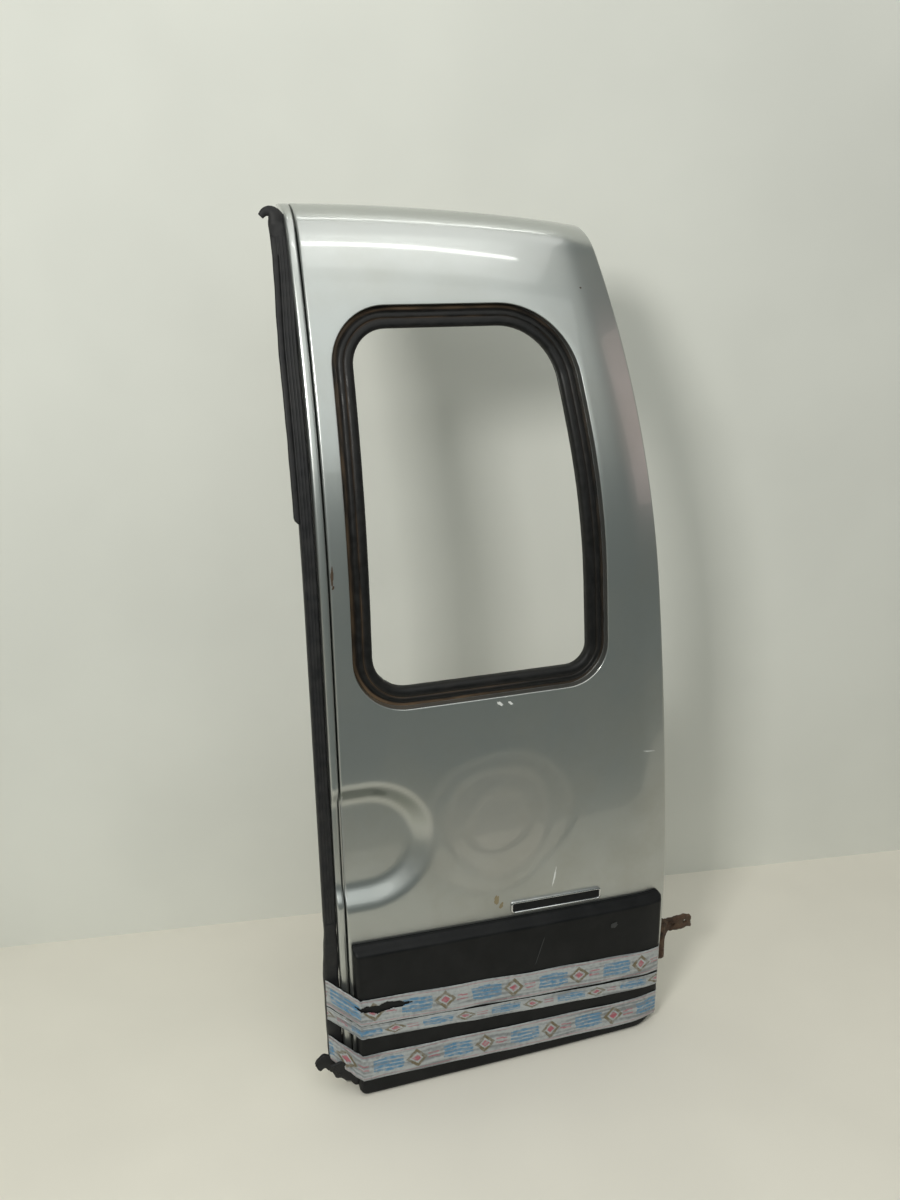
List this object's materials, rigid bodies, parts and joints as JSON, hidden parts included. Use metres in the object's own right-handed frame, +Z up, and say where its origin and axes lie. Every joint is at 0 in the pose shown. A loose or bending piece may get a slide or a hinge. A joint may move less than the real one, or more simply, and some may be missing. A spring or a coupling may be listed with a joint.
{
  "type": "van rear door",
  "caption": "Right-hand rear door of a small van with an empty window opening, handle dish, rubber edge seal, plastic lower cladding and one hinge.",
  "frame": {"origin": "middle of the flat face by which the lower hinge's pillar leaf is bolted to the body", "axes": "+X right seen from outside, +Y inwards to the cargo space, +Z up"},
  "size_m": [0.6354, 0.1995, 1.2451],
  "materials": {
    "silver_paint": "metallic clear coat, satin with age",
    "inner_paint": "thin metallic paint over pressed sheet",
    "seal_rubber": "weathered rubber",
    "adhesive": "cut adhesive with dust",
    "cladding_plastic": "grained plastic",
    "packing_tape": "pale glossy film with print",
    "rusty_steel": "rusted",
    "zinc_steel": "zinc plated, dull",
    "latch_plastic": "moulded"
  },
  "bodies": {
    "pillar_side": {"lower_hinge_pillar_leaf": "rusty_steel", "lower_hinge_pin": "zinc_steel"},
    "door": {"outer_skin": "silver_paint", "meeting_rail": "silver_paint", "inner_panel": "inner_paint", "inner_panel_waist": "inner_paint", "window_frame_sill": "inner_paint", "window_frame_left": "inner_paint", "window_frame_right": "inner_paint", "window_frame_head": "inner_paint", "window_bead": "adhesive", "meeting_seal": "seal_rubber", "meeting_seal_lip": "seal_rubber", "meeting_seal_foot": "seal_rubber", "meeting_seal_hook": "seal_rubber", "lower_cladding": "cladding_plastic", "tape_upper_wrap": "packing_tape", "tape_middle_wrap": "packing_tape", "tape_lower_wrap": "packing_tape", "hinge_reinforcement_lower": "inner_paint", "hinge_reinforcement_upper": "inner_paint", "lower_hinge_door_leaf": "rusty_steel", "lower_hinge_bolts": "rusty_steel", "upper_latch": "zinc_steel", "lower_latch": "zinc_steel", "upper_latch_rod": "zinc_steel", "lower_latch_rod": "zinc_steel", "rod_guides": "latch_plastic", "release_lever": "latch_plastic", "bump_stops": "seal_rubber"}
  },
  "joints": [
    {"name": "door_swing", "type": "hinge", "parent": "pillar_side", "child": "door", "pos_m": [-0.052, -0.033, 0], "axis": [0, 0, 1], "range_deg": [0, 90]}
  ]
}
